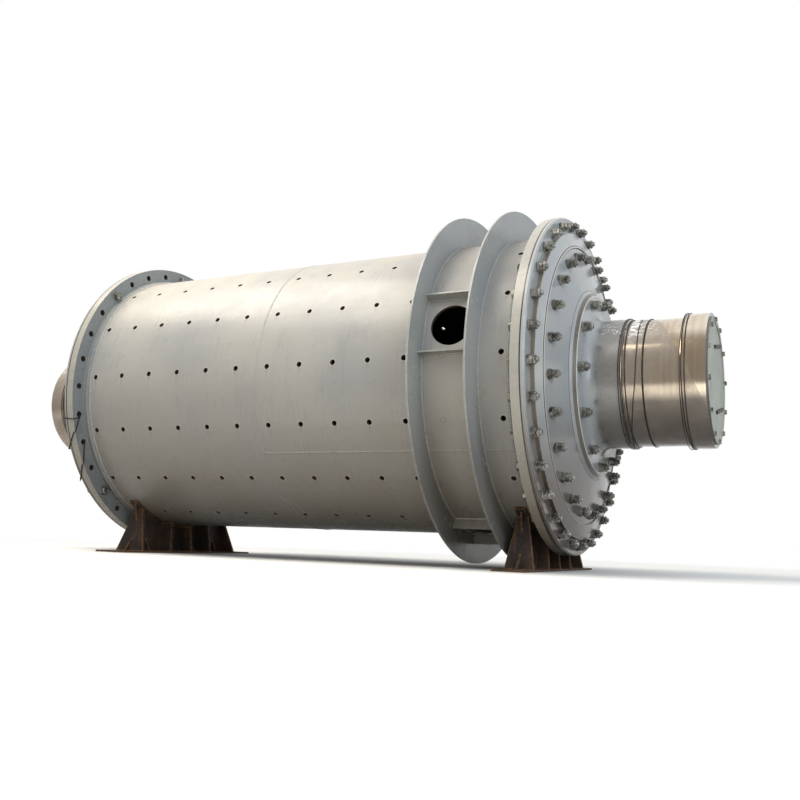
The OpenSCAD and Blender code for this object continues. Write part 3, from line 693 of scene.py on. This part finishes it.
def trunnion_material():
    """Paint on the flange and its edge, dull steel on the fillet and shoulder, bright steel beyond them.
    Painted light and shade: a brown shade and a highlight on the flange's sloped edge, a dark end face at the
    mouth, a darker lower side on the dull steel and a dark reflection under the bright steel.
    """
    made, tree, shader = finish_material("turned_journal")
    at = use(tree, polar)
    place = object_place(tree)
    reach = sums(tree, "ABSOLUTE", at["Along"])
    bare = between(tree, reach, SHOULDER_X - 0.004, SHOULDER_X - 0.001)
    dulled = between(tree, reach, FILLET_X - 0.040, FILLET_X + 0.030)
    paint = use(tree, weather, Colour=PALE_GREY, Dust=0.25, Grime=0.3, Roughness=0.22)
    rings = noise(tree, stretched(tree, place, (420.0, 1.2, 1.2)), 1.0, 2.0)
    bands = noise(tree, stretched(tree, place, (38.0, 0.5, 0.5)), 1.0, 2.0)
    stain = noise(tree, place, 4.5, 5.0, 0.6)
    steel = blend(tree, between(tree, bands, 0.35, 0.65), (0.70, 0.61, 0.48, 1), (0.82, 0.72, 0.58, 1))
    steel = blend(tree, between(tree, stain, 0.46, 0.70, 0.0, 0.55), steel, (0.46, 0.34, 0.22, 1))
    # Painted reflection: the bright steel turns dark on its lower side, as if it showed the dark ground, less
    # on the feed trunnion.
    lower = between(tree, at["Height"], -0.13, -0.20)
    dark_ground_reflection = times(tree, lower, between(tree, stain, 0.2, 0.6, 0.72, 0.92))
    dark_ground_reflection = times(tree, dark_ground_reflection, between(tree, at["Along"], 0.0, 0.1, 0.45, 1.0))
    steel = blend(tree, dark_ground_reflection, steel, (0.085, 0.070, 0.064, 1))
    shade = between(tree, at["Height"], -0.08, -0.32)
    dull = blend(tree, shade, (0.33, 0.345, 0.35, 1), (0.225, 0.22, 0.205, 1))
    steel = blend(tree, bare, dull, steel)
    # Painted shade: the inner half of the flange's sloped edge turns dark brown.
    slope_shade = times(tree, between(tree, at["Radius"], FLANGE_EDGE_R - 0.002, FLANGE_EDGE_R + 0.002),
                   between(tree, reach, TRUNNION_FACE_X - 0.001, TRUNNION_FACE_X - 0.004))
    slope_shade = times(tree, slope_shade, between(tree, at["Radius"], FLANGE_EDGE_R + 0.026, FLANGE_EDGE_R + 0.020))
    painted = blend(tree, times(tree, slope_shade, 0.95), paint["Colour"], (0.125, 0.108, 0.088, 1))
    # Painted highlight: a bright line along the flange's outer edge.
    lip_highlight = between(tree, apart(tree, at["Radius"], FLANGE_EDGE_R), 0.005, 0.003, 0.0, 0.7)
    painted = blend(tree, lip_highlight, painted, BARE_EDGE)
    # Painted shade: the end face at the trunnion's mouth is a dark grey that stands in for the shade on it,
    # and is not metallic.
    shaded_mouth = between(tree, reach, MOUTH_X - 0.0012, MOUTH_X - 0.0004)
    colour = blend(tree, dulled, painted, steel)
    colour = blend(tree, shaded_mouth, colour, (0.17, 0.172, 0.165, 1))
    tree.links.new(colour, shader.inputs["Base Color"])
    shine = plus(tree, times(tree, dulled, 0.55), times(tree, bare, 0.45))
    tree.links.new(times(tree, shine, minus(tree, 1.0, shaded_mouth)), shader.inputs["Metallic"])
    turned = times(tree, between(tree, stain, 0.3, 0.7, 0.12, 0.20), bare)
    covered = times(tree, plus(tree, paint["Roughness"], times(tree, dulled, 0.08)), minus(tree, 1.0, bare))
    tree.links.new(plus(tree, turned, covered), shader.inputs["Roughness"])
    height = plus(tree, times(tree, rings, bare), times(tree, paint["Height"], 0.4))
    bumped(tree, shader, height, 0.08, 0.001)
    return made


turned_journal = trunnion_material()
dress("feed_trunnion", turned_journal)
dress("discharge_trunnion", turned_journal)


# Trunnion caps. Plain steel plates in pale green primer, screwed on over the mouths to keep dirt
# out on the way, with small hexagon screws round the rim and two flat bars of black iron across.
cap_low, cap_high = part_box("discharge_trunnion_cap")
CAP_R = (cap_high.y - cap_low.y) / 2
CAP_FACE_X = cap_high.x
CAP_PLATE_X = CAP_FACE_X - 0.005
CAP_SCREWS = 12
CAP_SCREW_R = CAP_R - 0.020
CAP_SCREW_PHASE = math.radians(-7)
CAP_GREEN = (0.36, 0.395, 0.345, 1)
CAP_RIM_SHADE = (0.15, 0.152, 0.148, 1)
BAR_THICK = 0.010
BAR_WIDE = 0.024
BAR_TILT = math.radians(12)
BARS = ((0.09, 0.253, 0.33), (0.13, -0.188, 0.34))
# Painted shade: a dark grey line round the edge of each cap.
cap_paint = plate_material("cap_paint", CAP_GREEN, 0.46, lit_and_shaded_rings=[(CAP_R, LINE, CAP_RIM_SHADE)])


def iron_material():
    """Black iron with a little brown rust."""
    made, tree, shader = finish_material("black_iron")
    cloud = noise(tree, object_place(tree), 40.0, 3.0)
    rust = between(tree, cloud, 0.45, 0.7)
    colour = blend(tree, rust, (0.018, 0.016, 0.015, 1), (0.060, 0.040, 0.030, 1))
    tree.links.new(colour, shader.inputs["Base Color"])
    shader.inputs["Roughness"].default_value = 0.55
    shader.inputs["Metallic"].default_value = 0.4
    bumped(tree, shader, cloud, 0.2, 0.001)
    return made


def cap_bars(end, side):
    """Two flat bars across the plate of a cap, a little askew, with softened edges."""
    bm = bmesh.new()
    for y, z, length in BARS:
        size = Matrix.Diagonal((BAR_THICK, length, BAR_WIDE, 1.0))
        place = Vector((side * (CAP_PLATE_X + BAR_THICK / 2), y, AXIS_Z + z))
        askew = Matrix.Rotation(BAR_TILT, 4, "X")
        bmesh.ops.create_cube(bm, size=1.0, matrix=Matrix.Translation(place) @ askew @ size)
    bmesh.ops.bevel(bm, geom=bm.edges, offset=0.0015, segments=2, affect="EDGES")
    mesh = bpy.data.meshes.new(f"{end}_cap_bars")
    bm.to_mesh(mesh)
    bm.free()
    mesh.materials.append(black_iron)
    made = bpy.data.objects.new(f"{end}_cap_bars", mesh)
    bpy.context.scene.collection.objects.link(made)
    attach(made, "root")


black_iron = iron_material()
screw_source = fastener("cap_screw", [(disc, 0.019, 0.0, 0.003), (nut, 0.030, 0.003, 0.016)])
for end, side, seed in (("discharge", 1.0, 41), ("feed", -1.0, 43)):
    dress(f"{end}_trunnion_cap", cap_paint)
    bolts(f"{end}_cap_screws", screw_source, CAP_SCREWS, CAP_SCREW_R, side * CAP_FACE_X, side,
          CAP_SCREW_PHASE, seed, loose=0.0)
    cap_bars(end, side)
for source in (*sources.values(), screw_source):
    bpy.data.objects.remove(source)


# Film and binding wire. Clear stretch film is wound over each oiled journal and bound with turns of
# soft black wire; three ties run from holes in the feed flange to the feed trunnion's binding.
FILM_START_X = SHOULDER_X - 0.150
FILM_END_X = MOUTH_X - 0.004
FILM_TEAR_X = SHOULDER_X + 0.430
FILM_OFF = 0.0022
FILM_SLACK = 0.0016
FILM_EASE = 0.012
FILM_PINCH = 0.05
FILM_ALONG = 84
FILM_AROUND = 168
WIRE_R = 0.0027
WIRE_OFF = 0.0015 + WIRE_R
TIE_R = 0.0045
TIE_OFF = 0.006
TIE_STEPS = 6
BAND = [SHOULDER_X + 0.0135 * i - 0.014 for i in range(4)]
SINGLE_X = SHOULDER_X + 0.140
COLLAR_TIES = [COLLAR_X + 0.0125 * i - 0.009 for i in range(3)]
WIRE_PLACES = [*BAND, SINGLE_X, SINGLE_X + 1.7 * WIRE_R, *COLLAR_TIES]
SLANT = [(-180, 0.030), (-120, 0.012), (-90, 0.008), (-78, 0.014), (-54, 0.037), (-33, 0.065), (-15, 0.087),
         (-3, 0.097), (20, 0.102), (44, 0.096), (90, 0.085), (140, 0.060), (180, 0.030)]


def film_material():
    """Clear film: a thin haze, thicker above as painted sheen, with painted white highlights on the creases
    and gathers above and a torn edge at the discharge end.
    """
    made, tree, shader = finish_material("clear_film")
    at = use(tree, polar)
    place = object_place(tree)
    reach = sums(tree, "ABSOLUTE", at["Along"])
    feed_end = between(tree, at["Along"], 0.0, -0.1)
    folds = noise(tree, stretched(tree, place, (14.0, 25.0, 25.0)), 1.0, 4.0, 0.55)
    ridge = between(tree, apart(tree, folds, 0.52), 0.020, 0.006)
    patches = between(tree, noise(tree, place, 8.0, 2.0), 0.44, 0.56)
    upper = between(tree, at["Height"], 0.20, 0.29)
    torn = minus(tree, FILM_TEAR_X, times(tree, at["Angle"], 0.20))
    whole = between(tree, minus(tree, torn, reach), -0.003, 0.003)
    whole = sums(tree, "MAXIMUM", whole, feed_end)
    gathered = times(tree, between(tree, reach, SHOULDER_X + 0.030, SHOULDER_X + 0.042),
                     between(tree, reach, SHOULDER_X + 0.125, SHOULDER_X + 0.095))
    creased = times(tree, ridge, patches)
    bunched = times(tree, gathered, between(tree, folds, 0.38, 0.56, 0.25, 1.0))
    # Painted highlights: creases and gathers on the upper side turn white and opaque.
    crease_glints = times(tree, upper, sums(tree, "MAXIMUM", creased, bunched))
    cloudy = between(tree, noise(tree, place, 3.0, 3.0), 0.35, 0.7, 0.75, 1.0)
    # Painted sheen: the haze grows towards the top, standing in for the sky seen in the film, and is stronger
    # over the feed trunnion.
    haze_with_top_sheen = sums(tree, "MAXIMUM", between(tree, at["Height"], 0.02, 0.20, 0.28, 0.45),
                 times(tree, feed_end, 0.55))
    shown = sums(tree, "MAXIMUM", times(tree, cloudy, haze_with_top_sheen), crease_glints)
    colour = blend(tree, crease_glints, (0.46, 0.425, 0.40, 1), (0.96, 0.96, 0.97, 1))
    tree.links.new(colour, shader.inputs["Base Color"])
    tree.links.new(times(tree, whole, shown), shader.inputs["Alpha"])
    tree.links.new(between(tree, folds, 0.3, 0.7, 0.12, 0.24), shader.inputs["Roughness"])
    bumped(tree, shader, folds, 0.35, 0.004)
    return made


def film_radius(x):
    """Outside of a trunnion at a place along it, with the film drawn over its steps."""
    if x > COLLAR_X - FILM_EASE:
        return COLLAR_R + FILM_OFF
    if x < SHOULDER_X + FILM_EASE:
        return SHOULDER_R + FILM_OFF
    return JOURNAL_R + FILM_OFF


def film(end, side):
    """A thin wrinkled sleeve that hugs the trunnion and is drawn in under the wires."""
    mesh = bpy.data.meshes.new(f"{end}_film")
    points = []
    for i in range(FILM_ALONG + 1):
        x = FILM_START_X + (FILM_END_X - FILM_START_X) * i / FILM_ALONG
        loose = min(1.0, min(abs(x - w) for w in WIRE_PLACES) / FILM_PINCH)
        for j in range(FILM_AROUND):
            a = 2 * math.pi * j / FILM_AROUND
            wave = math.sin(7 * a + 31 * x) + math.sin(19 * a - 47 * x + 1.3)
            wave += 0.8 * math.sin(37 * a + 83 * x)
            slack = FILM_SLACK * loose * (1.6 + wave) * (0.45 + 0.55 * max(0.0, math.sin(a + 0.4)))
            points.append(on_drum(side * x, film_radius(x) + max(0.0, slack), a))
    faces = []
    for i in range(FILM_ALONG):
        for j in range(FILM_AROUND):
            k = (j + 1) % FILM_AROUND
            here, there = i * FILM_AROUND, (i + 1) * FILM_AROUND
            quad = (here + j, here + k, there + k, there + j)
            faces.append(quad if side < 0 else tuple(reversed(quad)))
    mesh.from_pydata(points, [], faces)
    mesh.materials.append(clear_film)
    made = bpy.data.objects.new(f"{end}_film", mesh)
    bpy.context.scene.collection.objects.link(made)
    mesh.polygons.foreach_set("use_smooth", [True] * len(mesh.polygons))
    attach(made, "root")


def wire_loop(side, offset):
    """One closed turn of wire over the film, at a place along it that may change with the angle."""
    points = []
    for degrees in range(-180, 180, 5):
        x = offset(degrees)
        points.append(on_drum(side * x, film_radius(x) + WIRE_OFF, math.radians(degrees)))
    return points, True


def slanting(degrees):
    """Place of the slanting wire at an angle, from its offsets past the shoulder's end."""
    for (a0, x0), (a1, x1) in zip(SLANT, SLANT[1:]):
        if a0 <= degrees <= a1:
            return SHOULDER_X + x0 + (x1 - x0) * (degrees - a0) / (a1 - a0)


def binding(side):
    """All the wire on one trunnion."""
    loops = [wire_loop(side, slanting)]
    for number, x in enumerate(WIRE_PLACES):
        lean = 0.0 if abs(x - SINGLE_X) < 2 * WIRE_R else 0.005 * math.sin(2.4 * number + 0.7)
        loops.append(wire_loop(side, lambda degrees: x + lean * math.sin(math.radians(degrees) + number)))
    return loops


def wire(name, runs, radius, pitch):
    """Soft iron wire along runs of points."""
    grow(name, weld_bead, paths(name, runs), Size=radius, Ripple=0.0, Pitch=pitch, Sides=7, Finish=black_iron)


def tie(hole, near_sag, far_sag):
    """A wire from a flange hole, slanting down over the rim and across to the feed trunnion's binding."""
    angle = FLANGE_PHASE + hole * 2 * math.pi / FLANGE_BOLTS
    over = FLANGE_R + TIE_OFF
    rim = RIM_FACE_X + TIE_OFF
    edge = FLANGE_BACK_X + TIE_OFF
    near = angle - math.radians(near_sag)
    far = angle - math.radians(far_sag)
    stations = [(-rim + 0.02, FLANGE_BOLT_R, angle), (-FLANGE_BACK_X + 0.008, FLANGE_BOLT_R, angle),
                (-FLANGE_BACK_X + 0.010, FLANGE_BOLT_R + 0.006, angle - math.radians(1.2)),
                (-FLANGE_BACK_X + 0.006, over - 0.004, near), (-edge, over, near)]
    for step in range(1, TIE_STEPS + 1):
        part = step / TIE_STEPS
        stations.append((-edge + (edge - rim) * part, over, near + (far - near) * part))
    stations += [(-rim - 0.008, over - 0.012, far),
                 (-(SHOULDER_X + 0.004), SHOULDER_R + 0.012, far - math.radians(14))]
    return [on_drum(*s) for s in stations], False


clear_film = film_material()
for end, side in (("discharge", 1.0), ("feed", -1.0)):
    film(end, side)
    wire(f"{end}_binding_wire", binding(side), WIRE_R, pitch=0.06)
wire("feed_tie_wires", [tie(-1, 1.5, 1.0), tie(-1, 6.5, 13.0), tie(-2, 8.0, 15.0)], TIE_R, pitch=0.04)


# Cradles. Flame-cut plate welded up into two saddles: base, web, end plates, ribs and a bent pad.
# Left unpainted, so they are dark mill scale with brown rust, brightest orange on the cut edges.
CRADLE_PLATES = ("base", "web", "pad", "end_front", "end_back", "rib_front", "rib_middle", "rib_back",
                 "gussets")


def rust_material():
    """Dark scale with rust in clouds and runs, and orange edges."""
    made, tree, shader = finish_material("rusty_plate")
    place = object_place(tree)
    cloud = noise(tree, place, 5.0, 6.0, 0.65)
    grain = noise(tree, place, 70.0, 4.0, 0.7)
    runs = noise(tree, stretched(tree, place, (26.0, 26.0, 2.4)), 1.0, 3.0)
    scale = between(tree, cloud, 0.40, 0.68)
    colour = blend(tree, scale, (0.022, 0.017, 0.016, 1), (0.060, 0.034, 0.022, 1))
    colour = blend(tree, between(tree, runs, 0.54, 0.74, 0.0, 0.45), colour, (0.115, 0.055, 0.026, 1))
    colour = blend(tree, between(tree, grain, 0.55, 0.75, 0.0, 0.4), colour, (0.014, 0.011, 0.011, 1))
    edge = use(tree, edge_mask, Width=0.010)["Edge"]
    colour = blend(tree, edge, colour, (0.40, 0.195, 0.070, 1))
    tree.links.new(colour, shader.inputs["Base Color"])
    tree.links.new(between(tree, grain, 0.3, 0.7, 0.62, 0.92), shader.inputs["Roughness"])
    bumped(tree, shader, plus(tree, grain, cloud), 0.35, 0.003)
    return made


rusty_plate = rust_material()
for end in ("feed", "discharge"):
    for plate in CRADLE_PLATES:
        dress(f"{end}_cradle_{plate}", rusty_plate)


# Stage. A plain pale floor and plain soft light: a warm high key from the left, a cool sky and a weak
# bounce from below, with a white background for the camera.
FLOOR = 60.0
WHITE = (1, 1, 1, 1)


def backdrop_tone(tree, place, near, far, camera_ray):
    """White all round for the camera, and a dimmer warm grey on the front side for the reflections."""
    depth = add(tree, "ShaderNodeSeparateXYZ", None, i0=place).outputs[1]
    mirrored = blend(tree, between(tree, depth, near, far), WHITE, (0.28, 0.25, 0.22, 1))
    return blend(tree, camera_ray, mirrored, WHITE)


def seen_directly(tree, rays):
    """Rays that show a surface or mirror it, and not those that only light by it."""
    seen = sums(tree, "MAXIMUM", rays["Is Camera Ray"], rays["Is Transmission Ray"])
    return sums(tree, "MAXIMUM", seen, rays["Is Glossy Ray"])


def stage_material():
    """A floor that is pale near the part, white far off, and dark as a light source."""
    made, tree, shader = finish_material("pale_floor")
    shader.inputs["Base Color"].default_value = (0.20, 0.18, 0.155, 1)
    shader.inputs["Roughness"].default_value = 0.9
    place = object_place(tree)
    rays = add(tree, "ShaderNodeLightPath").outputs
    white = add(tree, "ShaderNodeEmission", None, Strength=1.0,
                Color=backdrop_tone(tree, place, -1.0, -8.0, rays["Is Camera Ray"]))
    distance = add(tree, "ShaderNodeVectorMath", {"operation": "LENGTH"}, i0=place).outputs["Value"]
    far = between(tree, distance, 3.2, 8.0)
    pale = add(tree, "ShaderNodeBsdfDiffuse", None, Color=(0.92, 0.915, 0.905, 1))
    shown = add(tree, "ShaderNodeMixShader", None, i0=far, i1=pale.outputs[0], i2=white.outputs[0])
    mixed = add(tree, "ShaderNodeMixShader", None, i0=seen_directly(tree, rays), i1=shader.outputs[0],
                i2=shown.outputs[0])
    tree.links.new(mixed.outputs[0], tree.nodes["Material Output"].inputs["Surface"])
    return made


floor_mesh = bpy.data.meshes.new("floor")
floor_corners = [(x * FLOOR, y * FLOOR, 0) for x, y in ((-1, -1), (1, -1), (1, 1), (-1, 1))]
floor_mesh.from_pydata(floor_corners, [], [(0, 1, 2, 3)])
floor_mesh.materials.append(stage_material())
floor = bpy.data.objects.new("floor", floor_mesh)
bpy.context.scene.collection.objects.link(floor)

scene = bpy.context.scene
world = bpy.data.worlds.new("sky")
scene.world = world
world.use_nodes = True
sky = world.node_tree
sky.nodes.clear()
direction = add(sky, "ShaderNodeTexCoord").outputs["Generated"]
level = add(sky, "ShaderNodeSeparateXYZ", None, i0=direction).outputs[2]
tone = blend(sky, between(sky, level, 0.0, 0.95), (0.20, 0.20, 0.20, 1), (0.95, 0.98, 1.0, 1))
light = add(sky, "ShaderNodeBackground", None, Color=tone, Strength=0.85)
sky_rays = add(sky, "ShaderNodeLightPath").outputs
backdrop = add(sky, "ShaderNodeBackground", None, Strength=1.0,
               Color=backdrop_tone(sky, direction, 0.1, -0.5, sky_rays["Is Camera Ray"]))
sky_mix = add(sky, "ShaderNodeMixShader", None, i0=seen_directly(sky, sky_rays), i1=light.outputs[0],
              i2=backdrop.outputs[0])
sky_out = sky.nodes.new("ShaderNodeOutputWorld")
sky.links.new(sky_mix.outputs[0], sky_out.inputs[0])


def lamp(name, place, aim, size, watts, colour, mirrored=True):
    """A large soft lamp that points at a place and may show in polished steel."""
    data = bpy.data.lights.new(name, "AREA")
    data.shape = "RECTANGLE"
    data.size, data.size_y = size
    data.energy = watts
    data.color = colour
    made = bpy.data.objects.new(name, data)
    made.location = place
    made.rotation_euler = (Vector(aim) - Vector(place)).to_track_quat("-Z", "Y").to_euler()
    made.visible_camera = False
    made.visible_glossy = mirrored
    scene.collection.objects.link(made)


lamp("key", (-2.6, -2.6, 7.4), (0.0, 0.0, 1.4), (7.0, 3.6), 560, (1.0, 0.92, 0.79))
lamp("sky_side", (7.5, -4.5, 3.6), (1.6, 0.0, 1.3), (4.0, 4.0), 230, (0.84, 0.92, 1.0))
lamp("ground_glow", (0.8, -4.9, 0.15), (0.4, -0.6, 1.1), (7.0, 1.4), 120, (1.0, 0.93, 0.80), mirrored=False)


# Camera. Low beside the discharge end, looking slightly up along the drum, as the photograph was taken.
# Its place, turn and lens come from a fit to the rims, the outline and the rows of holes.
FOCAL_PX = 902.0
FRAME_PX = 800
CAMERA_PLACE = Vector((3.6209, -6.2985, 0.1656))
AZIMUTH, ELEVATION, TILT = (math.radians(a) for a in (26.598, -8.906, 2.111))
camera_data = bpy.data.cameras.new("camera")
camera_data.sensor_width = 36.0
camera_data.lens = FOCAL_PX / FRAME_PX * camera_data.sensor_width
camera = bpy.data.objects.new("camera", camera_data)
reach = math.cos(ELEVATION)
forward = Vector((-math.sin(AZIMUTH) * reach, math.cos(AZIMUTH) * reach, -math.sin(ELEVATION)))
level_right = Vector((math.cos(AZIMUTH), math.sin(AZIMUTH), 0.0))
level_up = level_right.cross(forward)
right = math.cos(TILT) * level_right + math.sin(TILT) * level_up
up = right.cross(forward)
turn = Matrix((right, up, -forward)).transposed()
camera.matrix_world = Matrix.Translation(CAMERA_PLACE) @ turn.to_4x4()
scene.collection.objects.link(camera)
scene.camera = camera
scene.view_settings.view_transform = "Standard"
